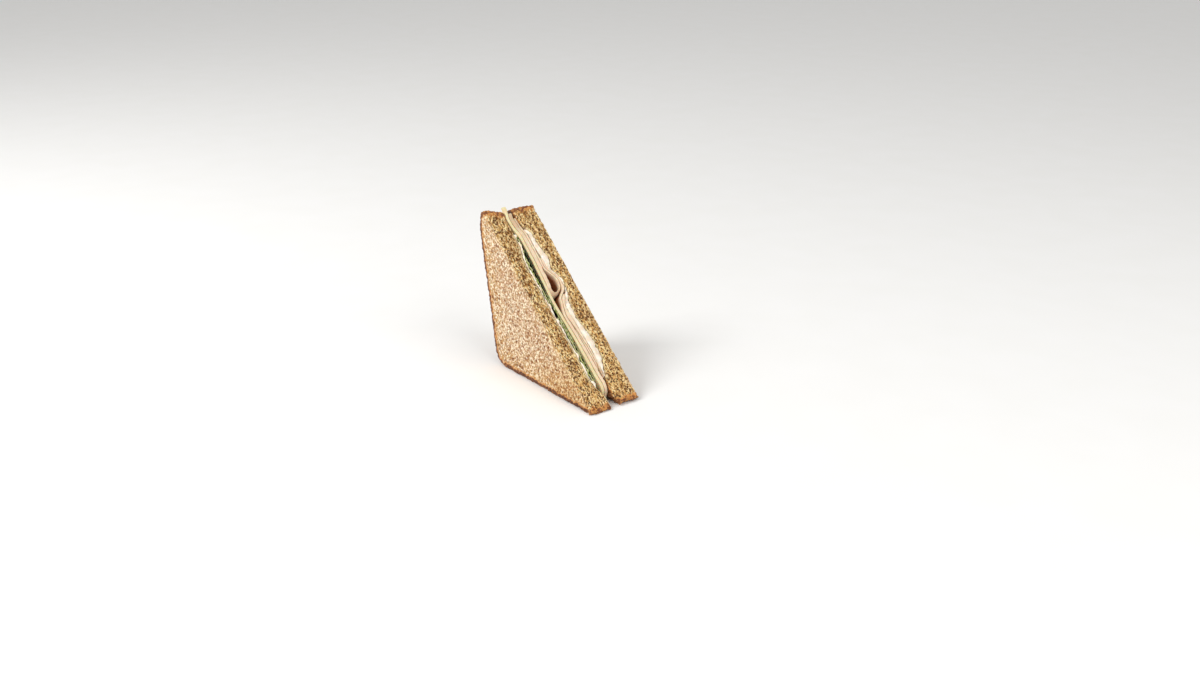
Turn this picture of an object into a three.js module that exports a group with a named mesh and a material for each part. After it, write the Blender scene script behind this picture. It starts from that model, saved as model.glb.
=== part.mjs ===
// Half of a turkey sandwich, cut corner to corner and stood on its crust with the cut side sloping.
// Two slices of wholemeal bread hold, from front to back: mayonnaise, three salad leaves, a slice of cheese,
// a folded slice of turkey whose fold stands open at the cut, three flat slices of turkey, and mayonnaise.
// Millimetres. +X runs along the bottom crust to the sharp tip, +Y goes from the front slice to the back
// slice and +Z is up. The origin is at the middle of the bottom.

import * as THREE from "three";

// The cut triangle, in the plane of the slices: x from the square corner, z up
const CRUST_LENGTH = 110; // bottom crust, from the square corner to the tip
const APEX = new THREE.Vector2(-14.4, 109.3); // top of the cut, on the upright crust
const TIP = new THREE.Vector2(CRUST_LENGTH, 0); // foot of the cut, on the bottom crust
const SHOULDER = new THREE.Vector2(-20, 96); // where the slice's rounded corner meets its upright crust
const SHOULDER_PULL = new THREE.Vector2(-20.6, 105.5); // control point of that rounded corner
const WAIST = new THREE.Vector2(-10, 48); // the upright crust leans back above this place and less below it
const HEEL = new THREE.Vector2(-2.5, 0); // where the upright and the bottom crust would meet
const HEEL_RADIUS = 9; // rounding of that square corner
const BLUNT = 2.5; // height of the slice's sharp ends
const APEX_SAG = 0.028; // share of the cut by which the top of a slice falls from its outer to its inner side

// Across the sandwich
const WIDTH = 40.6; // over both slices
const SLICE_EDGE = 16.4; // thickness of the front slice at its crust
const SLICE_PRESSED = 10.8; // thickness of the front slice where the filling presses on it
const LEAF_SIDE = 1.1; // the lower half of the front slice is pressed less by this much
const TIP_SWELL = 1.4; // the front slice is this much thicker at the tip
const APEX_SWELL = 3.3; // and above the leaves, where less filling presses on it
const BACK_EDGE = 21.3; // inner side of the back slice at its crust
const BACK_PRESSED = 22.2; // and where nothing lies on it
const EDGE_ROUND = 1.6; // rounding of a slice's crust edges
const CUT_ROUND = 0.3; // rounding of the edges that the knife made
const PRESS_FROM = 3; // distance from the crust where the filling starts to press, at the apex
const PRESS_FROM_TIP = 5; // and at the tip
const PRESS_TO = 16; // where it presses fully
const GAP = 0.35; // left between neighbouring pieces

// Filling
const SPREAD_FRONT = 0.8; // least thickness of the mayonnaise on the front slice
const SPREAD_BACK = 0.5; // and on the back slice
const SPREAD_HEAP = 4; // how much thicker that on the back slice is below the fold
const LEAF = 0.45;
const CHEESE = 2.1;
const CHEESE_BACK = 19; // place of the cheese's back side near the crust
const CHEESE_BOW = 1.9; // how far the cheese bows towards the front slice in the middle of the cut
const CHEESE_LEAN = 2.4; // how far it leans towards the front slice above the leaves
const CHEESE_LIFT = 0.9; // how far it is pushed towards the back slice near the tip
const FOLD_PLY = 2.7; // front ply of the folded turkey
const FOLD_PLY_BACK = 1.3; // its back ply
const TURKEY_FLAT = 1.3; // the flat slice that lies over the fold
const TURKEY_FLAT_LOW = 2.3; // the same slice below the fold
const TURKEY_SHORT = 1.1; // the short slice behind it
const LOWER_STACK = 5.7; // height over the cheese of all the turkey below the fold
const FOOT_STACK = 3.6; // the same near the tip

// The fold of turkey that stands open at the cut; places along the cut are shares of its length from the apex
const FOLD_PINCH = 0.315; // where its two plies meet
const FOLD_ROUND = 0.417; // centre of its round end
const FOLD_OPEN = 6; // width of the opening
const FOLD_FADE = 28; // depth into the sandwich over which the opening closes
const FLAT_LEAVES = 0.43; // where the flat slice leaves the fold
const LEDGE = 4.6; // height over the cheese at which its steep part ends
const LEDGE_AT = 0.482; // where that is
const FLAT_LANDS = 0.57; // and where it comes down on the cheese

// Each layer shows at the cut between two shares of its length, and reaches deepest behind a third
const LAYERS = {
  mayonnaise_front: { from: 0.15, to: 0.885, deepest: 0.42, depth: 42 },
  leaf_upper: { from: 0.16, to: 0.5, deepest: 0.31, depth: 27 },
  leaf_middle: { from: 0.22, to: 0.68, deepest: 0.41, depth: 35 },
  leaf_lower: { from: 0.56, to: 0.86, deepest: 0.66, depth: 31 },
  cheese: { from: 0, to: 0.922, deepest: 0.485, depth: 67 },
  turkey_folded_front: { from: 0.035, to: 0.5, deepest: 0.45, depth: 48 },
  turkey_folded_back: { from: 0.07, to: 0.5, deepest: 0.4, depth: 42 },
  turkey_flat: { from: 0.27, to: 0.925, deepest: 0.51, depth: 57 },
  turkey_short: { from: 0.62, to: 0.84, deepest: 0.72, depth: 26 },
  turkey_back: { from: 0.455, to: 0.875, deepest: 0.6, depth: 42 },
  mayonnaise_back: { from: 0.13, to: 0.855, deepest: 0.5, depth: 50 },
};

const CUT_LENGTH = APEX.distanceTo(TIP);
const ALONG = TIP.clone().sub(APEX).normalize(); // down the cut
const INWARD = new THREE.Vector2(ALONG.y, -ALONG.x); // from the cut towards the square corner

const mix = (a, b, s) => a + (b - a) * s;

// 0 before from, 1 after to, smooth between them
function ease(from, to, x) {
  const s = Math.min(1, Math.max(0, (x - from) / (to - from)));
  return s * s * (3 - 2 * s);
}

const bump = (at, spread, x) => Math.exp(-(((x - at) / spread) ** 2));

// A soft unevenness between -1 and 1 over the plane of the slices
function uneven(p, size, turn = 0) {
  const x = p.x / size;
  const z = p.y / size;
  const waves =
    Math.sin(1.7 * x + 0.9 * z + turn) +
    Math.sin(-1.1 * x + 1.9 * z + 2.3 * turn) +
    Math.sin(2.9 * x - 2.3 * z + 4.1 * turn);
  return waves / 3;
}

// The point at share t of the cut's length and depth n behind the cut
function onCut(t, n = 0) {
  const p = APEX.clone().addScaledVector(ALONG, t * CUT_LENGTH);
  return p.addScaledVector(INWARD, n);
}

// The share of the cut's length and the depth behind the cut of a point
function cutPlace(p) {
  const from = p.clone().sub(APEX);
  return { t: from.dot(ALONG) / CUT_LENGTH, n: from.dot(INWARD) };
}

// Shares of the cut at which every piece has a column, close together round the fold
const stations = [0.3, 0.56, 1].flatMap((to, k) => {
  const from = [0, 0.3, 0.56][k];
  const count = Math.round((to - from) / [0.03, 0.0125, 0.03][k]);
  return Array.from({ length: count }, (_, i) => mix(from, to, i / count));
});
Object.values(LAYERS).forEach(({ from, to }) => stations.push(from, to));
stations.sort((a, b) => a - b);

function columnsBetween(from, to) {
  const apart = 0.006;
  const list = [from];
  stations.forEach((t) => {
    if (t > list.at(-1) + apart && t < to - apart) list.push(t);
  });
  return [...list, to];
}

// The slice's crust from the apex round the square corner to the tip
const crust = new THREE.Path();
crust.moveTo(APEX.x, APEX.y);
crust.quadraticCurveTo(SHOULDER_PULL.x, SHOULDER_PULL.y, SHOULDER.x, SHOULDER.y);
const heelStart = HEEL.clone().lerp(WAIST, (1.3 * HEEL_RADIUS) / WAIST.distanceTo(HEEL));
crust.quadraticCurveTo(WAIST.x, WAIST.y, heelStart.x, heelStart.y);
crust.quadraticCurveTo(HEEL.x, HEEL.y, HEEL.x + 1.2 * HEEL_RADIUS, 0);
crust.lineTo(TIP.x, TIP.y);

const crustPoints = crust.getSpacedPoints(90);
const crustDistance = (p) => Math.min(...crustPoints.map((q) => q.distanceTo(p)));

// Share of the crust's length that lies straight behind share t of the cut
function crustBehind(t) {
  let low = 0.08;
  let high = 1;
  while (high - low > 1e-5) {
    const middle = (low + high) / 2;
    if (cutPlace(crust.getPointAt(middle)).t < t) low = middle;
    else high = middle;
  }
  return low;
}

// 1 where a layer lies along the cut, fading to 0 just beyond its ends
function present(name, t) {
  const { from, to } = LAYERS[name];
  return ease(from - 0.03, from, t) * (1 - ease(to, to + 0.03, t));
}

// What follows are places across the sandwich, over the plane of the slices, where pieces begin and end

// How fully the filling presses at a point, from 0 at the crust to 1
function pressing(p) {
  const from = mix(PRESS_FROM, PRESS_FROM_TIP, ease(0.5, 0.9, cutPlace(p).t));
  return ease(from, PRESS_TO, crustDistance(p));
}

function cheeseBack(p) {
  const { t } = cutPlace(p);
  const bow = CHEESE_BOW * bump(0.48, 0.15, t) * ease(4, 24, crustDistance(p));
  const lean = CHEESE_LEAN * (1 - ease(0.1, 0.16, t)) * ease(2, 10, crustDistance(p));
  return CHEESE_BACK - bow - lean + CHEESE_LIFT * ease(0.82, 0.92, t) + 0.12 * uneven(p, 17, 1);
}

const cheeseFront = (p) => cheeseBack(p) - CHEESE;

function frontSliceInner(p) {
  const { t } = cutPlace(p);
  const edge = SLICE_EDGE + TIP_SWELL * ease(0.84, 0.93, t);
  const swell = APEX_SWELL * (1 - ease(0.17, 0.29, t)) + LEAF_SIDE * ease(0.45, 0.7, t);
  const pressed = SLICE_PRESSED + swell + 0.4 * uneven(p, 22, 2);
  return Math.min(mix(edge, pressed, pressing(p)), cheeseFront(p) - GAP);
}

// The spread on the front slice thins out towards the crust
const frontSpreadFront = (p) => frontSliceInner(p) + GAP + 0.5 * (1 - ease(14, 19, crustDistance(p)));

function frontSpreadBack(p) {
  const { t } = cutPlace(p);
  const dollops = 0.2 * bump(0.27, 0.08, t) + 0.7 * bump(0.83, 0.04, t);
  const back = frontSpreadFront(p) + SPREAD_FRONT + dollops + 0.25 * uneven(p, 6, 3);
  return Math.min(back, cheeseFront(p) - GAP);
}

// The room for the leaves, from the spread to the cheese; share 0 to 1 goes through it
const leafPlace = (p, share) => mix(frontSpreadBack(p) + GAP, cheeseFront(p) - GAP, share);

// Width of the fold's opening at a share of the cut's length and a depth behind the cut
function foldOpening(t, n) {
  const shallow = 1 / (1 + (Math.max(0, n) / FOLD_FADE) ** 2);
  return FOLD_OPEN * ease(FOLD_PINCH, FOLD_ROUND - 0.02, t) * shallow;
}

// Height over the cheese of the flat slice's front side: over the fold, down its round end, then on the cheese
function flatHeight(p) {
  const { t, n } = cutPlace(p);
  const frontPly = GAP + FOLD_PLY;
  const backPly = (GAP + FOLD_PLY_BACK) * present("turkey_folded_back", t);
  const onFold = frontPly + backPly + foldOpening(Math.min(t, FOLD_ROUND), n) + GAP;
  const ledge = mix(LEDGE, GAP, ease(LEDGE_AT - 0.006, FLAT_LANDS, t));
  return mix(onFold, Math.min(onFold, ledge), ease(FLAT_LEAVES, LEDGE_AT, t));
}

const flatFront = (p) => cheeseBack(p) + flatHeight(p);

// Where the flat slice runs steeply it is as thick as ever square to its own face
function flatBack(p) {
  const { t } = cutPlace(p);
  const ahead = flatHeight(p.clone().addScaledVector(ALONG, 1));
  const behind = flatHeight(p.clone().addScaledVector(ALONG, -1));
  const thickness = mix(TURKEY_FLAT, TURKEY_FLAT_LOW, ease(0.5, 0.62, t)) * present("turkey_flat", t);
  return flatFront(p) + thickness * Math.hypot(1, (ahead - behind) / 2);
}

// The short slice wedges in behind the flat one
const shortFront = (p) => flatBack(p) + GAP;
const shortBack = (p) => shortFront(p) + TURKEY_SHORT * ease(0.56, 0.74, cutPlace(p).t);
const backFront = (p) => mix(flatBack(p), shortBack(p), present("turkey_short", cutPlace(p).t)) + GAP;

// The back slice of turkey fills up the rest of the stack's height
function backBack(p) {
  const { t, n } = cutPlace(p);
  const overFold = GAP + flatHeight(onCut(Math.min(t, FOLD_ROUND), n)) + TURKEY_FLAT;
  const below = mix(LOWER_STACK, FOOT_STACK, ease(0.77, 0.85, t));
  const height = mix(overFold, below, ease(0.425, 0.53, t));
  return Math.max(backFront(p) + 0.7, cheeseBack(p) + height);
}

const turkeyBack = (p) => mix(flatBack(p), backBack(p), present("turkey_back", cutPlace(p).t));

// The spread on the back slice is squeezed thick above the fold and in a long heap below it
const backSpreadFront = (p) => turkeyBack(p) + GAP;

function backSpreadBack(p) {
  const { t } = cutPlace(p);
  const dollops = 3 * bump(0.19, 0.06, t) + 4.2 * bump(0.285, 0.045, t) + 3.1 * bump(0.525, 0.06, t);
  const heap = (SPREAD_HEAP + 0.4 * uneven(p, 8, 7)) * ease(0.56, 0.65, t) * (1 - ease(0.77, 0.85, t));
  return backSpreadFront(p) + SPREAD_BACK + dollops + heap;
}

function backSliceInner(p) {
  const { t } = cutPlace(p);
  const filling = mix(turkeyBack(p), backSpreadBack(p), present("mayonnaise_back", t)) + GAP;
  const pressed = Math.max(mix(BACK_EDGE, BACK_PRESSED, pressing(p)), filling);
  return mix(BACK_EDGE, pressed, ease(1.5, 7, crustDistance(p)));
}

// Closed body between a front surface (towards -Y) and a back surface, joined round the rim through loops.
// Each is a function of a column and a row, from 0 to columns and from 0 to rows.
function closedGeometry({ columns, rows, front, back, loops = [] }) {
  const positions = [];
  const add = (point) => {
    positions.push(...point.toArray());
    return positions.length / 3 - 1;
  };
  const grid = (surface) =>
    Array.from({ length: columns + 1 }, (_, i) => Array.from({ length: rows + 1 }, (_, j) => add(surface(i, j))));
  const frontGrid = grid(front);
  const backGrid = grid(back);

  // Round the rim: down the cut, across the tip, back along the crust and across the apex
  const border = [];
  for (let i = 0; i < columns; i++) border.push([i, 0]);
  for (let j = 0; j < rows; j++) border.push([columns, j]);
  for (let i = columns; i > 0; i--) border.push([i, rows]);
  for (let j = rows; j > 0; j--) border.push([0, j]);
  const rings = [
    border.map(([i, j]) => frontGrid[i][j]),
    ...loops.map((loop) => border.map(([i, j]) => add(loop(i, j)))),
    border.map(([i, j]) => backGrid[i][j]),
  ];

  const index = [];
  const quad = (a, b, c, d) => index.push(a, b, c, a, c, d);
  for (let i = 0; i < columns; i++)
    for (let j = 0; j < rows; j++) {
      quad(frontGrid[i][j], frontGrid[i][j + 1], frontGrid[i + 1][j + 1], frontGrid[i + 1][j]);
      quad(backGrid[i][j], backGrid[i + 1][j], backGrid[i + 1][j + 1], backGrid[i][j + 1]);
    }
  for (let r = 0; r + 1 < rings.length; r++)
    for (let k = 0; k < border.length; k++) {
      const next = (k + 1) % border.length;
      quad(rings[r][k], rings[r][next], rings[r + 1][next], rings[r + 1][k]);
    }
  const geometry = new THREE.BufferGeometry();
  geometry.setAttribute("position", new THREE.Float32BufferAttribute(positions, 3));
  geometry.setIndex(index);
  geometry.computeVertexNormals();
  return geometry;
}

const across = (p, y) => new THREE.Vector3(p.x, y, p.y);

function mesh(name, geometry, color, roughness) {
  const material = new THREE.MeshStandardMaterial({ color, roughness, metalness: 0 });
  const made = new THREE.Mesh(geometry, material);
  made.name = name;
  return made;
}

// One slice of bread; its crust stands square to it, with rounded edges, and its top falls by sag at the apex
function breadSlice({ name, front, back, from, to, sag }) {
  const list = columnsBetween(from, to);
  const columns = list.length - 1;
  const rows = 7;
  const nearEnd = 0.06; // up to this share from an end the columns lean to its blunt edge
  const crustLength = crust.getLength();

  // Place in the plane of the slices, drawn in from the outline by inset, at share s from front to back
  const place = (i, j, inset, s) => {
    const start = from + sag * s + inset / CUT_LENGTH;
    const blunt = (BLUNT + inset) / crustLength;
    let t = Math.min(list[i], to - inset / CUT_LENGTH);
    let share = crustBehind(t);
    if (list[i] < nearEnd) {
      const along = (list[i] - from) / (nearEnd - from);
      t = mix(start, nearEnd, along);
      share = mix(start + blunt, crustBehind(nearEnd), along);
    }
    if (list[i] > 1 - nearEnd) {
      const along = (list[i] - 1 + nearEnd) / (to - 1 + nearEnd);
      t = mix(1 - nearEnd, to - inset / CUT_LENGTH, along);
      share = mix(crustBehind(1 - nearEnd), 1 - blunt - (1 - to), along);
    }
    const outward = crust.getTangentAt(share);
    outward.set(outward.y, -outward.x);
    if (outward.dot(INWARD) < 0) outward.negate();
    const edge = crust.getPointAt(share).addScaledVector(outward, -inset);
    const depth = 1 - (1 - j / rows) ** 1.7;
    return onCut(t, (inset * CUT_ROUND) / EDGE_ROUND).lerp(edge, depth);
  };
  const surface = (height, s) => (i, j) => {
    const p = place(i, j, EDGE_ROUND, s);
    return across(p, height(p));
  };
  const loop = (height, s, rise) => (i, j) => {
    const inset = EDGE_ROUND * (1 - Math.sqrt(1 - (1 - rise) ** 2));
    const side = s ? -1 : 1;
    return across(place(i, j, inset, s), height(place(i, j, EDGE_ROUND, s)) + side * rise * EDGE_ROUND);
  };
  const geometry = closedGeometry({
    columns,
    rows,
    front: surface(front, 0),
    back: surface(back, 1),
    loops: [loop(front, 0, 0.3), loop(front, 0, 1), loop(back, 1, 1), loop(back, 1, 0.3)],
  });
  return mesh(name, geometry, "#c39a63", 0.95);
}

// How deep a layer reaches behind the cut: two slopes from its ends, rounded where they meet
function layerDepth({ from, to, deepest, depth }, t) {
  const round = 8;
  const blunt = 2;
  const top = depth + round / 2;
  const rise = (top * (t - from)) / (deepest - from);
  const fall = (top * (to - t)) / (to - deepest);
  return blunt + (rise + fall - Math.hypot(rise - fall, round)) / 2;
}

// A layer of the filling between two places; it stands out of the cut by proud, with its rim rounded by bulge
function fillingLayer({ name, front, back, color, roughness, rows = 5, proud = () => 0, bulge = 0 }) {
  const shape = LAYERS[name];
  const list = columnsBetween(shape.from, shape.to);
  const place = (i, j, inset) => {
    const t = list[i];
    const out = proud(onCut(t)) - inset;
    return onCut(t, mix(-out, layerDepth(shape, t) - inset, (j / rows) ** 1.3));
  };
  const surface = (height) => (i, j) => {
    const p = place(i, j, bulge);
    return across(p, height(p));
  };
  const middle = (i, j) => {
    const p = place(i, j, bulge);
    return across(place(i, j, 0), (front(p) + back(p)) / 2);
  };
  const geometry = closedGeometry({
    columns: list.length - 1,
    rows,
    front: surface(front),
    back: surface(back),
    loops: bulge ? [middle] : [],
  });
  return mesh(name, geometry, color, roughness);
}

function saladLeaf(name, share, turn) {
  const middle = (p) => leafPlace(p, share) + 0.12 * uneven(p, 2.6, turn);
  return fillingLayer({
    name,
    front: (p) => middle(p) - LEAF / 2,
    back: (p) => middle(p) + LEAF / 2,
    color: "#4d7a2c",
    roughness: 0.5,
    proud: (p) => 0.6 + 0.6 * uneven(p, 3.1, turn),
  });
}

// The folded slice is a ribbon: down the front ply, round the open end and up the back ply
function foldedTurkey() {
  const down = columnsBetween(LAYERS.turkey_folded_front.from, FOLD_ROUND);
  const up = columnsBetween(LAYERS.turkey_folded_back.from, FOLD_ROUND).reverse();
  const bends = 12; // columns round the open end
  const rows = 6;
  const columns = down.length + bends + up.length - 2;
  const inner = (p) => cheeseBack(p) + GAP + FOLD_PLY; // inner side of the front ply

  // A column's share of the cut, its deepest reach, and its angle round the open end, -90 to 90 degrees
  const column = (i) => {
    if (i < down.length - 1) return { t: down[i], angle: -Math.PI / 2, reach: LAYERS.turkey_folded_front };
    const bend = i - down.length + 1;
    if (bend <= bends) {
      return { t: FOLD_ROUND, angle: Math.PI * (bend / bends - 0.5), reach: LAYERS.turkey_folded_front };
    }
    return { t: up[bend - bends], angle: Math.PI / 2, reach: LAYERS.turkey_folded_back };
  };
  const surface = (outer) => (i, j) => {
    const { t, angle, reach } = column(i);
    const n = layerDepth(reach, t) * (j / rows) ** 1.3;
    const radius = (foldOpening(t, n) + GAP) / 2;
    const ply = mix(FOLD_PLY, FOLD_PLY_BACK, (1 + Math.sin(angle)) / 2) * outer;
    const centre = inner(onCut(t, n)) + radius;
    const along = (radius + 1.15 * ply) * Math.cos(angle);
    return across(onCut(t, n).addScaledVector(ALONG, along), centre + (radius + ply) * Math.sin(angle));
  };
  const geometry = closedGeometry({ columns, rows, front: surface(1), back: surface(0) });
  return mesh("turkey_folded", geometry, "#e3bd94", 0.55);
}

const turkeyLook = { color: "#dfb68c", roughness: 0.55 };
const spreadLook = { color: "#f6efd8", roughness: 0.3, bulge: 0.4 };
const sandwich = new THREE.Group();
sandwich.add(
  breadSlice({
    name: "bread_front",
    front: (p) => 0.3 * uneven(p, 23, 5),
    back: frontSliceInner,
    from: 0.002,
    to: 0.996,
    sag: APEX_SAG,
  }),
  fillingLayer({
    name: "mayonnaise_front",
    front: frontSpreadFront,
    back: frontSpreadBack,
    proud: (p) => 0.5 + 0.5 * uneven(p, 4, 1),
    ...spreadLook,
  }),
  saladLeaf("leaf_upper", 0.2, 1),
  saladLeaf("leaf_middle", 0.78, 2),
  saladLeaf("leaf_lower", 0.25, 3),
  fillingLayer({ name: "cheese", front: cheeseFront, back: cheeseBack, color: "#ecd9a0", roughness: 0.45 }),
  foldedTurkey(),
  fillingLayer({ name: "turkey_flat", front: flatFront, back: flatBack, ...turkeyLook }),
  fillingLayer({ name: "turkey_short", front: shortFront, back: shortBack, ...turkeyLook }),
  fillingLayer({ name: "turkey_back", front: backFront, back: backBack, ...turkeyLook }),
  fillingLayer({
    name: "mayonnaise_back",
    front: backSpreadFront,
    back: backSpreadBack,
    proud: (p) => 0.5 + 0.5 * uneven(p, 4, 2),
    ...spreadLook,
  }),
  breadSlice({
    name: "bread_back",
    front: backSliceInner,
    back: (p) => WIDTH + 0.3 * uneven(p, 21, 6),
    from: 0.022,
    to: 0.985,
    sag: 0,
  }),
);

// The origin is at the middle of the bottom of the whole
const bounds = new THREE.Box3().setFromObject(sandwich);
const middle = bounds.getCenter(new THREE.Vector3());
sandwich.position.set(-middle.x, -middle.y, -bounds.min.z);

const part = new THREE.Group();
part.add(sandwich);
export default part;
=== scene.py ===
"""Half of a wholemeal turkey sandwich with cheese, salad leaves and mayonnaise, cut corner to corner."""

import math

import bmesh
import bpy
import numpy as np
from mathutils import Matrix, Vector, noise
from mathutils.bvhtree import BVHTree


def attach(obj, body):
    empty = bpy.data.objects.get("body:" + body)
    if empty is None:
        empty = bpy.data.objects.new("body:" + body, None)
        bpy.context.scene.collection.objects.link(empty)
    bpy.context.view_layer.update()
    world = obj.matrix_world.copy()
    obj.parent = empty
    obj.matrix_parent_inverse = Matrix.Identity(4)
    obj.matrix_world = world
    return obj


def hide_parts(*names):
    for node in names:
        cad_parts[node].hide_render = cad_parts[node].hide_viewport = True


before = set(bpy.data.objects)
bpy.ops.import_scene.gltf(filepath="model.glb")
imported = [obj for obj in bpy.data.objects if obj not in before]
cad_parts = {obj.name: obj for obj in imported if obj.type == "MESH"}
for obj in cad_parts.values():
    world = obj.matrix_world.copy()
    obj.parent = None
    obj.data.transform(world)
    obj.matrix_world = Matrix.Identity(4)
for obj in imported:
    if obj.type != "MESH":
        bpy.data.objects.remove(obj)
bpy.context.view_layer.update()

# The two slices of bread
# Each is a slice of a tin-baked wholemeal loaf: an open crumb with long pores and flakes of bran, inside
# a thin browned crust. The knife that halved the sandwich tore the pores and drew them out along the cut.
MM = 0.001
CUT_TOP = Vector((-59.15, 0, 109.3)) * MM  # upper and lower end of the cut, in the plane of the slices
CUT_FOOT = Vector((65.25, 0, 0)) * MM
ALONG = (CUT_FOOT - CUT_TOP).normalized()
OUT_OF_CUT = Vector((-ALONG.z, 0, ALONG.x))
CUT_SLOPE = (0, -math.atan2(ALONG.z, ALONG.x), 0)  # turns a texture's X to run down the cut

CRUMB_GRAIN = 0.275 * MM  # size of the faces that the crumb's surface is made of at the cut
FINEST_TO = 1.2 * MM  # how far behind the cut they are that small
SEEN_TO = 8 * MM  # how far behind it they are twice that size on the side that lies on the filling
CRUST_THICK = 2.4 * MM
CRUST_ACROSS = 8 * MM  # a face of the solid that is wider than this across the sandwich is crust
MIDDLE_AT = 26 * MM  # distance from the crust at which the crumb has its middle's colour
TORN_TO = 3.5 * MM  # how far torn crumb spreads behind the cut
FOOT_WIDTH = 6 * MM  # rounding at the foot of the back slice, across it
FOOT_HEIGHT = 13 * MM  # and up it
FOOT_TO = 30 * MM  # how far behind the cut that foot is measured
LOW_CRUMB = (95 * MM, 150 * MM)  # down the cut, where the crumb takes its yellower colour near the tip
LUMPY_TIP = (140 * MM, 160 * MM)  # and where the lumps of the crust grow
SMEAR_REACH = 2.6 * MM  # how far from the mayonnaise the crumb is smeared with it

# Pores by size, by their widest radius as a share of it, by depth and by a shift of the noise
CUT_PORES = ((1.7 * MM, 0.5, 1, 0), (1.2 * MM, 0.56, 0.9, 7), (0.9 * MM, 0.58, 0.85, 9))
SIDE_PORES = ((2.2 * MM, 0.46, 1, 3), (1.3 * MM, 0.52, 0.8, 5))


def new_piece(name, mesh):
    piece = bpy.data.objects.new(name, mesh)
    bpy.context.scene.collection.objects.link(piece)
    return piece


def copy_of_node(node, name):
    """A piece with a node's shape, whose triangles are joined to quads where they fold little."""
    shape = bmesh.new()
    shape.from_mesh(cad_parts[node].data)
    bmesh.ops.remove_doubles(shape, verts=shape.verts, dist=0.001 * MM)
    bmesh.ops.join_triangles(
        shape,
        faces=shape.faces,
        angle_face_threshold=math.radians(40),
        angle_shape_threshold=math.radians(120),
    )
    mesh = bpy.data.meshes.new(name)
    shape.to_mesh(mesh)
    shape.free()
    return new_piece(name, mesh)


def add_modifier(piece, kind, **settings):
    modifier = piece.modifiers.new(kind.lower(), kind)
    for name, value in settings.items():
        setattr(modifier, name, value)


def apply_modifiers(piece):
    """Puts the mesh that a piece's modifiers make in the place of its own."""
    depsgraph = bpy.context.evaluated_depsgraph_get()
    made = bpy.data.meshes.new_from_object(piece.evaluated_get(depsgraph))
    made.name = piece.name
    piece.modifiers.clear()
    piece.data = made
    return made


def vertex_values(mesh, name):
    """Each vertex's place or normal, as rows of three numbers."""
    values = np.empty(len(mesh.vertices) * 3)
    mesh.vertices.foreach_get(name, values)
    return values.reshape(-1, 3)


def move_vertices(mesh, places):
    mesh.vertices.foreach_set("co", places.ravel())
    mesh.update()


def keep_values(mesh, **kept):
    """Keeps numbers for each vertex, which the material reads by their names."""
    for name, values in kept.items():
        mesh.attributes.new(name, "FLOAT", "POINT").data.foreach_set("value", values.astype(np.float32))


def smooth_step(low, high, values):
    """0 below low, 1 above high and smooth between them."""
    share = np.clip((values - low) / (high - low), 0, 1)
    return share * share * (3 - 2 * share)


def unevenness(places, size, shift):
    """Soft noise between -1 and 1 at each place."""
    return np.array([noise.noise(Vector(place)) for place in places / size + shift])


def lumps(places, *layers):
    """Such noise of several sizes added up, each layer with its height, its size and its shift."""
    return sum(height * unevenness(places, size, shift) for height, size, shift in layers)


def pore_depths(places, size, widest, shift):
    """0 on the walls between the pores, up to 1 at the middle of a pore."""
    depths = np.zeros(len(places))
    for index, place in enumerate(places / size + shift):
        near, centres = noise.voronoi(Vector(place))
        radius = widest * (0.3 + 0.7 * abs(noise.cell(centres[0] * 9.7)))
        depths[index] = max(0.0, 1 - (near[0] / radius) ** 2)
    return depths


def deepest_pores(places, pores, shift):
    """The depth at each place of the deepest pore there, out of pores of several sizes."""
    depths = [depth * pore_depths(places, size, widest, shift + own) for size, widest, depth, own in pores]
    return np.maximum.reduce(depths)


def in_cut_axes(places):
    """The places by their distance down the cut, across the sandwich and behind the cut."""
    from_top = places - np.array(CUT_TOP)
    behind = -from_top @ np.array(OUT_OF_CUT)
    return np.stack([from_top @ np.array(ALONG), from_top[:, 1], behind], axis=1)


def surface_of(mesh, wanted=lambda face: True):
    """Some faces of a mesh, for measuring the distance to them."""
    corners = [vertex.co.copy() for vertex in mesh.vertices]
    faces = [list(face.vertices) for face in mesh.polygons if wanted(face)]
    return BVHTree.FromPolygons(corners, faces)


def crust_of(mesh):
    """The crust of a slice: its faces that run across the whole slice, apart from those at the cut."""

    def is_crust(face):
        sides = [mesh.vertices[index].co.y for index in face.vertices]
        return max(sides) - min(sides) > CRUST_ACROSS and face.normal.dot(OUT_OF_CUT) < 0.9

    return surface_of(mesh, is_crust)


def nearness(places, node, reach):
    """1 on a node's surface, falling to 0 at a distance of reach from it."""
    other = surface_of(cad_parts[node].data)
    found = [other.find_nearest(Vector(place), reach)[3] for place in places]
    return 1 - np.array([reach if distance is None else distance for distance in found]) / reach


def split_faces(shape, wanted):
    edges = {edge for face in shape.faces if wanted(face) for edge in face.edges}
    bmesh.ops.subdivide_edges(shape, edges=list(edges), cuts=1, use_grid_fill=True)


def crumb_mesh(piece, filling_side):
    """Gives a slice small even faces, four times as fine at the cut as on the filling's side."""
    add_modifier(piece, "SUBSURF", levels=2, render_levels=2)
    form = surface_of(apply_modifiers(piece))
    add_modifier(piece, "REMESH", mode="VOXEL", voxel_size=4 * CRUMB_GRAIN, adaptivity=0)
    mesh = apply_modifiers(piece)
    shape = bmesh.new()
    shape.from_mesh(mesh)

    def behind_cut(face):
        return (face.calc_center_median() - CUT_TOP).dot(-OUT_OF_CUT)

    split_faces(shape, lambda face: face.normal.y * filling_side < 0.8 or behind_cut(face) < SEEN_TO)
    split_faces(shape, lambda face: behind_cut(face) < FINEST_TO)
    for vertex in shape.verts:
        vertex.co = form.find_nearest(vertex.co)[0]
    shape.normal_update()
    shape.to_mesh(mesh)
    shape.free()
    return mesh


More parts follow.
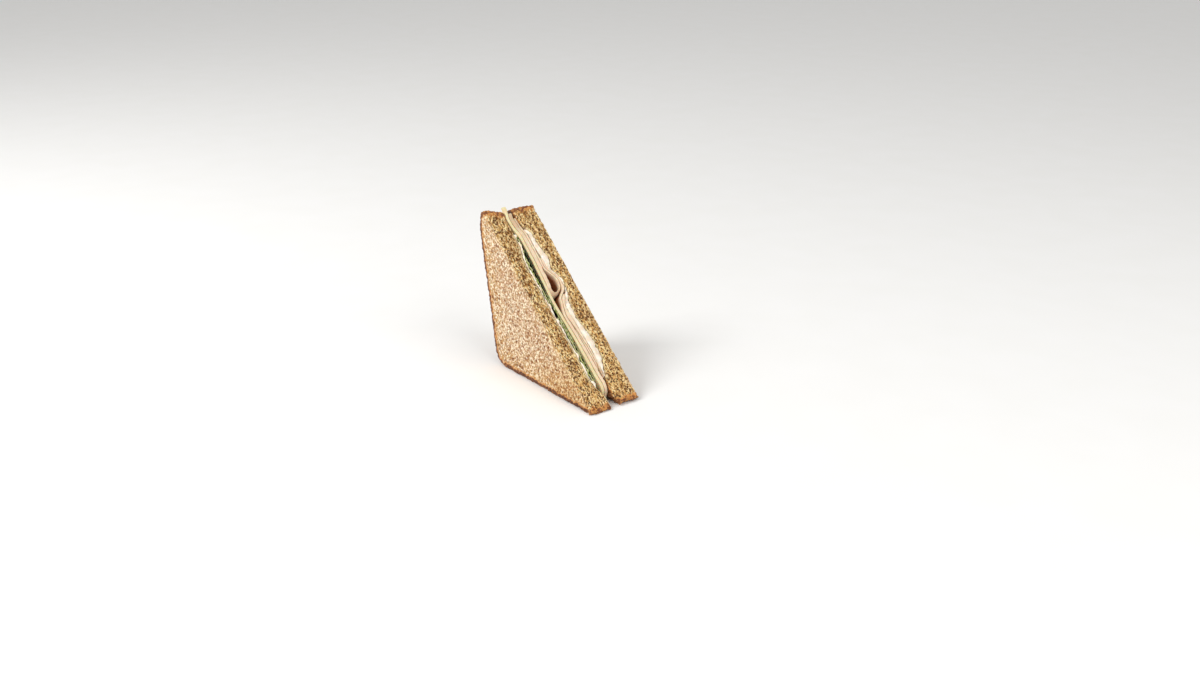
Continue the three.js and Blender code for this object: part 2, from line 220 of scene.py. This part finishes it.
def rounded_foot(places):
    """Rounds the lower inner corner of the back slice."""
    across, up = places[:, 1], places[:, 2]
    inner = across[(up < FOOT_HEIGHT) & (in_cut_axes(places)[:, 2] < FOOT_TO)].min()
    from_centre = np.stack([(across - inner) / FOOT_WIDTH - 1, up / FOOT_HEIGHT - 1], axis=1)
    reach = np.linalg.norm(from_centre, axis=1)
    in_corner = (from_centre < 0).all(axis=1) & (reach > 1)
    pulled = places.copy()
    pulled[in_corner, 1] = inner + FOOT_WIDTH * (1 + from_centre[in_corner, 0] / reach[in_corner])
    pulled[in_corner, 2] = FOOT_HEIGHT * (1 + from_centre[in_corner, 1] / reach[in_corner])
    return pulled


def facing(normals, direction, low, high):
    """How much the surface looks in a direction: 0 below one cosine and 1 above another."""
    return smooth_step(low, high, normals @ np.array(direction))


def crust_share(places, normals, node, filling_side):
    """How far each place belongs to the crust, and how far it lies towards the middle of the crumb."""
    crust = crust_of(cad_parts[node].data)
    towards_crust = np.array([crust.find_nearest(Vector(place))[0] for place in places]) - places
    from_crust = np.linalg.norm(towards_crust, axis=1)
    facing_cut = facing(normals, OUT_OF_CUT, 0.55, 0.9)
    facing_filling = facing(normals, (0, filling_side, 0), 0.3, 0.8)
    facing_away = facing(normals, (0, -filling_side, 0), 0.5, 0.95)

    # The crust also covers the corners that are rounded towards it, and the back slice's inner side
    leaning = (normals * towards_crust).sum(axis=1) / np.maximum(from_crust, 0.01 * MM) * (1 - facing_cut)
    wider = 0.7 * facing_cut + 1.2 * smooth_step(0.3, 0.7, leaning) + 0.9 * facing_away
    if filling_side < 0:
        wider += 4 * facing_filling

    # Its inner edge is frayed, most of all where the knife went through
    frayed = lumps(places, (1.1 * MM, 2.6 * MM, 3), (0.5 * MM, 1 * MM, 5))
    from_frayed = from_crust + frayed * (1 + 0.8 * facing_cut)
    crusty = 1 - smooth_step(0.55, 1.15, from_frayed / (CRUST_THICK * (1 + wider)))
    return crusty, smooth_step(0, MIDDLE_AT, from_crust + 4 * frayed)


def pores_in_crumb(places, torn, shift):
    """Pores from 0 to 1 deep: drawn out along the cut where the crumb is torn, and round on the sides."""
    wander = np.stack([unevenness(places, 1.3 * MM, own) for own in (5, 9, 14)], axis=1) * 0.35 * MM
    at_cut = torn > 0
    drawn_out = in_cut_axes(places) * np.array([0.6, 1, 0.85]) + wander
    long_pores = np.zeros(len(places))
    long_pores[at_cut] = deepest_pores(drawn_out[at_cut], CUT_PORES, shift)
    return torn * long_pores + (1 - torn) * deepest_pores(places + wander, SIDE_PORES, shift)


def bread_slice(node, name, shift, filling_side, spread):
    """A slice with its filling on the side that has this sign in Y, and with the node of its spread."""
    piece = copy_of_node(node, name)
    mesh = crumb_mesh(piece, filling_side)
    if filling_side < 0:
        move_vertices(mesh, rounded_foot(vertex_values(mesh, "co")))
    places = vertex_values(mesh, "co")
    normals = vertex_values(mesh, "normal")
    down, across, behind = in_cut_axes(places).T
    crusty, middle = crust_share(places, normals, node, filling_side)

    # Torn crumb spreads from the cut round the edge of the slice
    torn_behind = np.maximum(0, behind) + 0.8 * MM * unevenness(places, 2 * MM, 8)
    torn_round = 0.85 * (1 - smooth_step(0, TORN_TO, torn_behind))
    torn = np.maximum(facing(normals, OUT_OF_CUT, 0.55, 0.9), torn_round)
    pores = pores_in_crumb(places, torn, shift) * (1 - crusty)

    # The relief in millimetres: lumps, less the pores and the crumbs lost along the edges at the cut
    from_side = np.minimum(across - across.min(), across.max() - across)
    from_edge = np.hypot(from_side, np.maximum(0, behind))
    crumbled = np.exp(-from_edge / (1.1 * MM)) * (0.55 + 0.6 * unevenness(places, 1.7 * MM, shift + 6))
    crumb_lumps = lumps(places, (0.25, 5 * MM, shift), (0.2, 1.6 * MM, shift + 2))
    crust_lumps = lumps(places, (0.5, 2.6 * MM, shift + 4), (0.4, 1.2 * MM, shift))
    crust_lumps *= 1 + 1.4 * smooth_step(*LUMPY_TIP, down)
    pore_relief = (1.1 * torn + 0.45 * (1 - torn)) * pores
    relief = crumb_lumps * (1 - crusty) + crust_lumps * crusty - pore_relief - crumbled
    moved = places + normals * (relief * MM)[:, None]
    moved[:, 2] = np.maximum(moved[:, 2], 0)  # pressed flat where the slice stands
    move_vertices(mesh, moved)

    smears = lumps(places, (0.45, 2.2 * MM, shift), (0.3, 0.8 * MM, shift))
    low = smooth_step(*LOW_CRUMB, down) + 0.35 * torn * (filling_side < 0)
    keep_values(
        mesh,
        pore=pores,
        crust=crusty,
        torn=torn,
        middle=middle,
        low=np.minimum(low, 1),
        edge=np.exp(-from_edge / (1.4 * MM)),
        rim=crusty * np.exp(-from_side / (1.2 * MM)),
        smeared=smooth_step(0.25, 0.65, nearness(places, spread, SMEAR_REACH) + smears),
        # painted shade on the side that lies on the filling, deeper behind the cut
        shaded=facing(normals, (0, filling_side, 0), 0.3, 0.8) * smooth_step(0.5 * MM, 6 * MM, behind),
    )
    dress(piece, node, wholemeal)


def dress(piece, node, material):
    """Gives a finished piece its material and puts it in its node's place."""
    piece.data.shade_smooth()
    piece.data.materials.clear()
    piece.data.materials.append(material)
    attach(piece, "root")
    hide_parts(node)


def colour(red, green, blue):
    """A colour given from 0 to 255 as a screen shows it, in the linear values that a shader takes."""
    linear = [c / 3294.6 if c < 10.3 else ((c / 255 + 0.055) / 1.055) ** 2.4 for c in (red, green, blue)]
    return (*linear, 1)


class Socket:
    """A socket of a material's nodes; sums and products of sockets make the Math nodes for them."""

    def __init__(self, tree, socket=None):
        self.tree = tree
        self.socket = socket

    def node(self, kind, settings=None, values=None, output=0):
        """Adds a node with its settings, then its sockets' values or links, and gives one of its outputs."""
        made = self.tree.nodes.new(kind)
        for name, value in (settings or {}).items():
            setattr(made, name, value)
        for name, value in (values or {}).items():
            if isinstance(value, Socket):
                self.tree.links.new(value.socket, made.inputs[name])
            else:
                made.inputs[name].default_value = value
        return Socket(self.tree, made.outputs[output])

    def math(self, operation, *values):
        return self.node("ShaderNodeMath", {"operation": operation}, dict(enumerate(values)))

    def __add__(self, other):
        return self.math("ADD", self, other)

    def __radd__(self, other):
        return self.math("ADD", other, self)

    def __sub__(self, other):
        return self.math("SUBTRACT", self, other)

    def __rsub__(self, other):
        return self.math("SUBTRACT", other, self)

    def __mul__(self, other):
        return self.math("MULTIPLY", self, other)

    def __rmul__(self, other):
        return self.math("MULTIPLY", other, self)

    def ease(self, low, high):
        """0 below low, 1 above high and smooth between them."""
        values = {"Value": self, "From Min": low, "From Max": high}
        return self.node("ShaderNodeMapRange", {"interpolation_type": "SMOOTHSTEP"}, values)

    def mix(self, first, second):
        """The first colour where this is 0 and the second where it is 1."""
        settings = {"data_type": "RGBA", "clamp_factor": True}
        values = {"Factor": self, 6: first, 7: second}
        return self.node("ShaderNodeMix", settings, values, 2)

    def bump(self, strength, depth):
        """The normal of a relief of that depth whose height this is."""
        values = {"Strength": strength, "Distance": depth, "Height": self}
        return self.node("ShaderNodeBump", {}, values)

    def place(self, stretch, turn):
        """The place on the piece in metres, in axes that are turned and then stretched by these shares."""
        values = {
            "Vector": self.node("ShaderNodeTexCoord", output=3),
            "Rotation": turn,
            "Scale": [1 / share for share in stretch],
        }
        return self.node("ShaderNodeMapping", {"vector_type": "TEXTURE"}, values)

    def kept(self, name):
        """A number that the mesh keeps for each vertex."""
        return self.node("ShaderNodeAttribute", {"attribute_name": name}, output=2)

    def cloud(self, size, detail=2, stretch=(1, 1, 1), turn=(0, 0, 0)):
        """Soft noise from 0 to 1 with lumps of about that size."""
        values = {"Vector": self.place(stretch, turn), "Scale": 1 / size, "Detail": detail}
        return self.node("ShaderNodeTexNoise", {}, values)

    def cells(self, size, stretch=(1, 1, 1), turn=(0, 0, 0)):
        """The distance to the middle of the nearest of many cells, as a share of their size."""
        values = {"Vector": self.place(stretch, turn), "Scale": 1 / size}
        return self.node("ShaderNodeTexVoronoi", {}, values)

    def dots(self, size, radius):
        """Uneven dots in the middle of such cells, some stronger than others."""
        distance = self.cells(size)
        chance = Socket(self.tree, distance.socket.node.outputs["Color"]).ease(0.3, 0.6)
        frayed = distance + (self.cloud(size * 0.4, 1) - 0.5) * 0.6
        return (1 - frayed.ease(radius * 0.4, radius * 1.1)) * chance


def surface(name, look, **values):
    """A material whose look is given by a function of its nodes and whose other values are constants."""
    material = bpy.data.materials.new(name)
    material.use_nodes = True
    tree = material.node_tree
    shader = tree.nodes["Principled BSDF"]
    for socket, value in values.items():
        shader.inputs[socket.replace("_", " ")].default_value = value
    for socket, value in look(Socket(tree)).items():
        tree.links.new(value.socket, shader.inputs[socket])
    return material


def crumb_look(nodes):
    """The sides, the cut and the crust of a slice, told apart by the numbers that its mesh keeps."""
    pore = nodes.kept("pore")
    crust = nodes.kept("crust")
    torn = nodes.kept("torn")
    low = nodes.kept("low")
    middle = nodes.kept("middle")

    # The sides: pinkish white, with round specks partly of bran, and painted shade in small pits and pores
    crowded = nodes.cloud(7 * MM).ease(0.35, 0.65)
    grain = nodes.cloud(1.4 * MM)
    specks = nodes.dots(2.9 * MM, 0.42)
    dots = nodes.dots(1.7 * MM, 0.46)
    side = middle.mix(colour(196, 152, 92), colour(190, 151, 110))
    side = (low * 0.8).mix(side, colour(180, 126, 62))
    pale = low.mix(colour(255, 241, 212), colour(250, 226, 178))
    side = (grain.ease(0.4, 0.62) * (0.82 - low * 0.15)).mix(side, pale)
    # painted shade in the small pits
    side = (dots * 0.9).mix(side, colour(146, 92, 38))
    # dark specks: bran, and painted shade where they sink as pits
    side = (specks * (0.7 + crowded * 0.3)).mix(side, colour(114, 62, 20))
    # painted shade in the pores
    side = (pore.ease(0, 0.7) * 0.8).mix(side, colour(140, 88, 40))

    # The cut: pale torn walls, drawn out like the pores between them, which are darkened with painted shade
    strands = nodes.cloud(1.1 * MM, stretch=(0.4, 1, 0.8), turn=CUT_SLOPE).ease(0.42, 0.6)
    fine_pores = 1 - nodes.cells(0.9 * MM, stretch=(0.6, 1, 0.85), turn=CUT_SLOPE).ease(0.1, 0.45)
    streaks = nodes.cloud(7 * MM, stretch=(0.4, 1, 1), turn=CUT_SLOPE).ease(0.42, 0.6)
    cut = streaks.mix(colour(210, 164, 94), colour(162, 112, 48))
    cut = (low * 0.7).mix(cut, colour(226, 178, 106))
    cut = ((1 - middle.ease(0, 0.3)) * 0.5).mix(cut, colour(186, 126, 66))
    cut = (strands * (0.85 - streaks * 0.3)).mix(cut, colour(255, 230, 172))
    # painted shade in the fine pores
    cut = (fine_pores * (1 - strands) * 0.85).mix(cut, colour(140, 86, 24))
    # painted shade in the torn pores, darkest at their bottoms
    cut = (pore.ease(0, 0.55) * 0.95).mix(cut, colour(98, 54, 12))

    # Both: pale edges, flakes of bran, and mayonnaise smeared on the cut
    bran = nodes.cloud(1.1 * MM, 1).ease(0.59, 0.67)
    crumb = torn.mix(side, cut)
    crumb = (nodes.kept("edge") * strands * 0.7).mix(crumb, colour(255, 236, 200))
    crumb = (bran * 0.75).mix(crumb, colour(146, 90, 44))
    crumb = (nodes.kept("smeared") * torn * 0.85).mix(crumb, colour(238, 218, 168))
    crumb = (crust.ease(0, 0.3) * 0.75).mix(crumb, colour(202, 136, 66))

    # The crust: brown, golden where the knife went through it, and darkest along its outer rims
    baked = nodes.cloud(12 * MM, 3).ease(0.3, 0.7).mix(colour(160, 102, 48), colour(124, 72, 30))
    baked = (nodes.cloud(1.2 * MM, 3).ease(0.45, 0.7) * 0.4).mix(baked, colour(96, 52, 20))
    golden = nodes.cloud(2.4 * MM).ease(0.44, 0.56).mix(colour(120, 62, 26), colour(224, 158, 82))
    baked = (torn * (1 - crust.ease(0.8, 1) * 0.4)).mix(baked, golden)
    darkest = nodes.kept("rim").ease(0.2, 0.7) * nodes.cloud(2 * MM).ease(0.36, 0.54)
    baked = (darkest * (1 - torn) * 0.9).mix(baked, colour(78, 36, 14))

    shade = crust.ease(0.4, 0.75).mix(crumb, baked)
    # painted shade on the side that lies on the filling, behind the cut
    shade = (nodes.kept("shaded") * 0.8).mix(shade, colour(92, 52, 26))
    relief = grain * 0.5 - fine_pores * torn * 0.7 - specks * 0.5 - dots * 0.3
    return {"Base Color": shade, "Normal": relief.bump(0.8, 0.3 * MM), "Roughness": 0.95 - crust * 0.35}


wholemeal = surface("wholemeal_crumb", crumb_look, Subsurface_Weight=0.08, Subsurface_Scale=0.6 * MM)
bread_slice("bread_front", "front_slice", 1, filling_side=1, spread="mayonnaise_front")
bread_slice("bread_back", "back_slice", 31, filling_side=-1, spread="mayonnaise_back")


# The cheese
# One thin slice of mild pale cheese, sliced by machine and laid on the leaves. It reaches over the crust
# at the top, and the knife left its cut edge smooth with soft corners.
CHEESE_TUCK = (3 * MM, 8 * MM)  # rounding of its upper and its lower end at the cut


def soft_copy(node, name, corner):
    """A finer piece with a node's shape, whose corners are rounded over that width."""
    piece = copy_of_node(node, name)
    add_modifier(piece, "BEVEL", width=corner, segments=2, limit_method="ANGLE", angle_limit=math.radians(40))
    add_modifier(piece, "SUBSURF", levels=2, render_levels=2)
    apply_modifiers(piece)
    return piece


def tuck_ends(places, upper, lower):
    """Rounds the two corners that a slice shows at the cut, so that its ends run in behind it."""
    down, _, behind = in_cut_axes(places).T
    inward = np.zeros(len(places))
    for from_end, radius in ((down - down.min(), upper), (down.max() - down, lower)):
        missing = np.clip(1 - from_end / radius, 0, 1)
        inward += radius * (1 - np.sqrt(1 - missing**2)) * (1 - smooth_step(0, 4 * radius, behind))
    return places - inward[:, None] * np.array(OUT_OF_CUT)


def cheese_look(nodes):
    shade = nodes.cloud(7 * MM, 3).ease(0.3, 0.7).mix(colour(240, 222, 176), colour(232, 212, 162))
    return {"Base Color": shade, "Normal": nodes.cloud(1.2 * MM, 3).bump(0.15, 0.2 * MM)}


pale_cheese = surface(
    "pale_cheese", cheese_look, Roughness=0.38, Subsurface_Weight=0.25, Subsurface_Scale=2 * MM
)
cheese = soft_copy("cheese", "cheese_slice", 0.3 * MM)
places = vertex_values(cheese.data, "co")
waves = lumps(places, (0.12 * MM, 9 * MM, 2), (0.05 * MM, 2.5 * MM, 4))
waved = places + vertex_values(cheese.data, "normal") * waves[:, None]
move_vertices(cheese.data, tuck_ends(waved, *CHEESE_TUCK))
dress(cheese, "cheese", pale_cheese)


# The turkey
# Slices of cooked turkey breast, cut thin by machine. One is folded over and its fold stands open at the
# cut; the others lie flat over it and below it, moist and a little ragged where the knife went through.
TURKEY_TUCK = (3 * MM, 9 * MM)
FOLD_END = (86 * MM, 92 * MM)  # down the cut, where the stack below the fold begins
TURKEY_TOP = (10 * MM, 34 * MM)  # down the cut, where the browner upper part ends
TURKEY_DEEP = (0.5 * MM, 4.5 * MM)  # behind the cut, where it falls into shade
IN_PLANE = np.array([1, 0, 1])  # keeps a slice's places and leaves out how far across they lie


def near_cut(places, reach):
    """1 at the cut, falling to 0 at a depth of reach behind it."""
    return 1 - smooth_step(0, reach, in_cut_axes(places)[:, 2])


def turkey_look(nodes):
    grain = nodes.cloud(1.8 * MM, 3, stretch=(0.5, 1, 1), turn=CUT_SLOPE).ease(0.3, 0.7)
    shade = grain.mix(colour(244, 224, 192), colour(234, 208, 174))
    shade = (nodes.cloud(8 * MM).ease(0.4, 0.7) * 0.4).mix(shade, colour(234, 198, 170))
    # painted shade in lines where the slices part, and a browner upper part
    shade = nodes.kept("browned").mix(shade, colour(192, 158, 118))
    # painted shade deeper behind the cut, in the open fold above the stack
    shade = nodes.kept("depth").mix(shade, colour(156, 94, 58))
    return {"Base Color": shade, "Normal": grain.bump(0.35, 0.25 * MM)}


def turkey_slice(node, name, shift):
    piece = soft_copy(node, name, 0.3 * MM)
    mesh = piece.data
    places = vertex_values(mesh, "co")
    down, _, behind = in_cut_axes(places).T
    below_fold = smooth_step(*FOLD_END, down)

    # Each slice's edge is darkened along its two skins at the cut with painted shade, so that the slices part
    # in lines
    skins = surface_of(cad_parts[node].data, lambda face: abs(face.normal.y) > 0.7)
    from_skin = np.array([skins.find_nearest(Vector(place))[3] for place in places])
    lines = (1 - smooth_step(0.05 * MM, 0.4 * MM, from_skin)) * near_cut(places, 1 * MM)
    browned = (0.15 + 0.35 * below_fold) * lines
    keep_values(
        mesh,
        # painted shade in the fold's hollow, above the stack below it
        depth=smooth_step(*TURKEY_DEEP, behind) * (1 - below_fold),
        browned=np.maximum(browned, 0.6 * (1 - smooth_step(*TURKEY_TOP, down))),
    )

    ragged = 0.35 * MM * unevenness(places, 2.2 * MM, shift) * near_cut(places, 3 * MM)
    places = places + ragged[:, None] * np.array(OUT_OF_CUT)
    places[:, 1] += 0.12 * MM * unevenness(places * IN_PLANE, 5 * MM, shift + 3)
    move_vertices(mesh, tuck_ends(places, *TURKEY_TUCK))
    dress(piece, node, turkey_breast)


turkey_breast = surface(
    "turkey_breast",
    turkey_look,
    Roughness=0.36,
    Specular_IOR_Level=0.25,
    Subsurface_Weight=0.15,
    Subsurface_Scale=1.5 * MM,
)
turkey_slice("turkey_folded", "folded_turkey", 2)
turkey_slice("turkey_flat", "flat_turkey", 5)
turkey_slice("turkey_short", "short_turkey", 8)
turkey_slice("turkey_back", "back_turkey", 11)


# The mayonnaise
# Spread on the inner side of both slices and squeezed to the cut when the sandwich was pressed, where it
# stands in thick glossy folds between the bread and the filling.
SQUEEZED_TO = 4 * MM  # how far behind the cut it is lumpy
MAYONNAISE_TUCK = 1.5 * MM


def mayonnaise_look(nodes):
    shade = nodes.cloud(4 * MM).ease(0.3, 0.7).mix(colour(255, 245, 229), colour(240, 219, 192))
    return {"Base Color": shade, "Normal": nodes.cloud(1.6 * MM).bump(0.5, 0.3 * MM)}


def mayonnaise(node, name, shift, top_curl, swell, hollow):
    """A spread that swells at the cut, curls out at its top and has hollows of that depth."""
    piece = soft_copy(node, name, 0.25 * MM)
    mesh = piece.data
    places = vertex_values(mesh, "co")
    normals = vertex_values(mesh, "normal")
    down = in_cut_axes(places)[:, 0]
    squeezed = near_cut(places, SQUEEZED_TO)
    thicker = lumps(places, (0.6 * MM, 3.4 * MM, shift), (0.5 * MM, 1.3 * MM, shift))
    thicker += swell + top_curl * np.exp(-(down - down.min()) / (3 * MM))
    places = places + normals * (squeezed * thicker)[:, None]
    sunk = hollow * smooth_step(-0.3, 0.2, unevenness(places * IN_PLANE, 5 * MM, shift + 2))
    tucked = tuck_ends(places, MAYONNAISE_TUCK, MAYONNAISE_TUCK + hollow)
    move_vertices(mesh, tucked - (squeezed * sunk)[:, None] * np.array(OUT_OF_CUT))
    dress(piece, node, whipped_mayonnaise)


whipped_mayonnaise = surface(
    "whipped_mayonnaise", mayonnaise_look, Roughness=0.42, Subsurface_Weight=0.1, Subsurface_Scale=1 * MM
)
mayonnaise("mayonnaise_front", "front_mayonnaise", 3, top_curl=1.2 * MM, swell=0.1 * MM, hollow=1.2 * MM)
mayonnaise("mayonnaise_back", "back_mayonnaise", 6, top_curl=0, swell=0, hollow=0.7 * MM)


# The salad leaves
# Three torn pieces of soft green lettuce between the front mayonnaise and the cheese, each doubled over.
# The front layer is frilled at the cut; the one behind it lies further in, by the cheese, painted dark as
# shade.
LEAF_THICK = 0.4 * MM
LEAF_STEP = 0.3 * MM  # between the columns of its faces, down the cut
LEAF_ROWS = 34  # of faces behind the cut, closest together near it
LEAF_SHALLOW = 2 * MM  # how far it reaches behind the cut at its ends
LEAF_GAP = 0.5 * MM  # least distance to the cheese
LEAF_ROOM = 2 * MM  # room that it has where there is no cheese behind it
# the upper part of a leaf is painted dark as shade down to here
DARK_LEAF = (70 * MM, 80 * MM)  # down the cut, where the dark upper part ends
PALE_LEAF = (70 * MM, 120 * MM)  # and where the leaf grows paler


def leaf_look(nodes):
    veins = 1 - nodes.cells(3.2 * MM, stretch=(0.5, 1, 1), turn=CUT_SLOPE).ease(0, 0.35)
    shade = nodes.cloud(3 * MM, 3).ease(0.35, 0.65).mix(colour(86, 110, 26), colour(138, 154, 62))
    shade = (nodes.kept("pale") * 0.55).mix(shade, colour(172, 180, 104))
    shade = (veins * 0.4).mix(shade, colour(176, 186, 118))
    # painted shade: the leaf near black where it lies in shade behind the cut
    shade = nodes.kept("depth").mix(shade, colour(9, 12, 1))
    shade = (nodes.kept("rim") * nodes.cloud(2 * MM).ease(0.35, 0.55)).mix(shade, colour(212, 208, 158))
    return {"Base Color": shade, "Normal": veins.bump(0.4, 0.3 * MM)}


def leaf_layer(source, shift, lean, inset, frill, shade):
    """One layer of a leaf: its places, its faces, how pale its rim is and how dark the rest is painted as
    shade.

    Lean is how far it leans towards the cheese, as a share of the room there, and below 0 away from it.
    Inset is how far its rim lies behind the cut, frill how deep its ruffles are, and shade how much painted
    shade darkens its upper part.
    """
    leaf = surface_of(source)
    cheese_side = surface_of(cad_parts["cheese"].data)
    down, across, behind = in_cut_axes(vertex_values(source, "co")).T
    start, end, deepest, deepest_at = down.min(), down.max(), behind.max(), down[behind.argmax()]

    # Rows and columns of places behind the torn rim, which reach furthest where the leaf does
    steps = np.linspace(start, end, int((end - start) / LEAF_STEP) + 1)
    down, back = np.meshgrid(steps, np.linspace(0, 1, LEAF_ROWS + 1) ** 2.2, indexing="ij")
    before, after = (down - start) / (deepest_at - start), (end - down) / (end - deepest_at)
    reach = LEAF_SHALLOW + (deepest - LEAF_SHALLOW) * np.where(down < deepest_at, before, after)
    torn = np.array([noise.noise(Vector((step / (2.6 * MM), shift, 0))) for step in steps])
    first = inset - 0.9 * MM * torn[:, None]
    behind = first + (reach - first) * back
    places = np.array(CUT_TOP) + down[..., None] * np.array(ALONG) - behind[..., None] * np.array(OUT_OF_CUT)
    places[..., 1] = across.mean()
    places = places.reshape(-1, 3)
    index = np.arange(len(places)).reshape(down.shape)
    corners = [index[:-1, :-1], index[:-1, 1:], index[1:, 1:], index[1:, :-1]]
    faces = np.stack(corners, axis=-1).reshape(-1, 4)

    # Laid on the node's surface, leaned towards the cheese and ruffled
    for place in places:
        place[1] = leaf.find_nearest(Vector(place))[0].y
        cheese_at = cheese_side.ray_cast(Vector(place), Vector((0, 1, 0)))[0]
        room = cheese_at.y - place[1] - LEAF_GAP if cheese_at else LEAF_ROOM
        place[1] += lean * max(0, room)
    behind = behind.ravel()
    ruffles = unevenness(places * IN_PLANE, 2.4 * MM, shift) + 0.5 * unevenness(places, 1.2 * MM, shift + 4)
    places[:, 1] += frill * np.exp(-np.maximum(0, behind) / (4 * MM)) * ruffles

    from_rim = behind - first.repeat(LEAF_ROWS + 1)
    # painted shade on the upper part, and deeper behind the rim
    shade = shade * (1 - smooth_step(*DARK_LEAF, down.ravel()))
    rim = (1 - shade) * np.exp(-from_rim / (0.6 * MM))
    return places, faces, rim, shade + (1 - shade) * smooth_step(0.5 * MM, 2 * MM, from_rim)


def salad_leaf(node, name, shift, frill, shade):
    """A doubled leaf: a frilled layer at the cut and one behind it that leans on the cheese, painted dark as
    shade.
    """
    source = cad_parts[node].data
    front = leaf_layer(source, shift, lean=-0.4, inset=-0.5 * MM, frill=frill, shade=shade)
    # the back layer is painted almost wholly dark as shade
    back = leaf_layer(source, shift + 5, lean=0.9, inset=1.2 * MM, frill=0.3 * MM, shade=0.97)
    places, faces, rim, depth = (np.concatenate(pair) for pair in zip(front, back))
    faces[len(front[1]) :] += len(front[0])  # the back layer's faces count on after the front one's places
    mesh = bpy.data.meshes.new(name)
    mesh.from_pydata(places.tolist(), [], faces.tolist())
    keep_values(mesh, rim=rim, depth=depth, pale=smooth_step(*PALE_LEAF, in_cut_axes(places)[:, 0]))
    piece = new_piece(name, mesh)
    add_modifier(piece, "SOLIDIFY", thickness=LEAF_THICK, offset=0)
    apply_modifiers(piece)
    dress(piece, node, lettuce)


lettuce = surface("lettuce", leaf_look, Roughness=0.5, Specular_IOR_Level=0.2)
salad_leaf("leaf_upper", "upper_leaf", 1, frill=0.7 * MM, shade=0)
# the middle leaf's upper part is painted dark as shade
salad_leaf("leaf_middle", "middle_leaf", 12, frill=0.5 * MM, shade=0.9)
salad_leaf("leaf_lower", "lower_leaf", 23, frill=0.8 * MM, shade=0)


# The floor, the lights and the camera
# A plain pale surface in a soft white room, with the main light high up at the camera's left. The camera
# looks down on the cut from beyond the sharp tip.
MIDDLE = Vector((0, 0, 50)) * MM  # what the lights point at
CAMERA_PLACE = Vector((619.2, -438.9, 332.2)) * MM
LOOKING_DOWN = math.radians(21.78)
ROUND_THE_TIP = math.radians(52.52)


def floor_look(nodes):
    shade = nodes.cloud(40 * MM, 1).ease(0, 1).mix(colour(246, 245, 243), colour(244, 243, 240))
    return {"Base Color": shade}


def softbox(name, place, size, power):
    lamp = bpy.data.lights.new(name, "AREA")
    lamp.size = size
    lamp.energy = power
    box = new_piece(name, lamp)
    box.location = place
    box.rotation_euler = (MIDDLE - box.location).to_track_quat("-Z", "Y").to_euler()


bpy.ops.mesh.primitive_plane_add(size=8)
floor = bpy.context.object
floor.name = "floor"
floor.data.materials.append(surface("pale_floor", floor_look, Roughness=0.8))

world = bpy.data.worlds.new("room")
world.use_nodes = True
world.node_tree.nodes["Background"].inputs["Color"].default_value = (1, 1, 1, 1)
world.node_tree.nodes["Background"].inputs["Strength"].default_value = 0.6
bpy.context.scene.world = world
softbox("main_light", Vector((-0.5, -1.1, 1.1)), size=0.7, power=16)
softbox("side_light", Vector((1.2, 0.1, 0.9)), size=1.0, power=7)

camera = new_piece("camera", bpy.data.cameras.new("camera"))
camera.data.sensor_width = 36
camera.data.lens = camera.data.sensor_width  # a focal length of one width of the photograph
camera.location = CAMERA_PLACE
camera.rotation_euler = (math.pi / 2 - LOOKING_DOWN, 0, ROUND_THE_TIP)
bpy.context.scene.camera = camera
bpy.context.scene.view_settings.view_transform = "Standard"
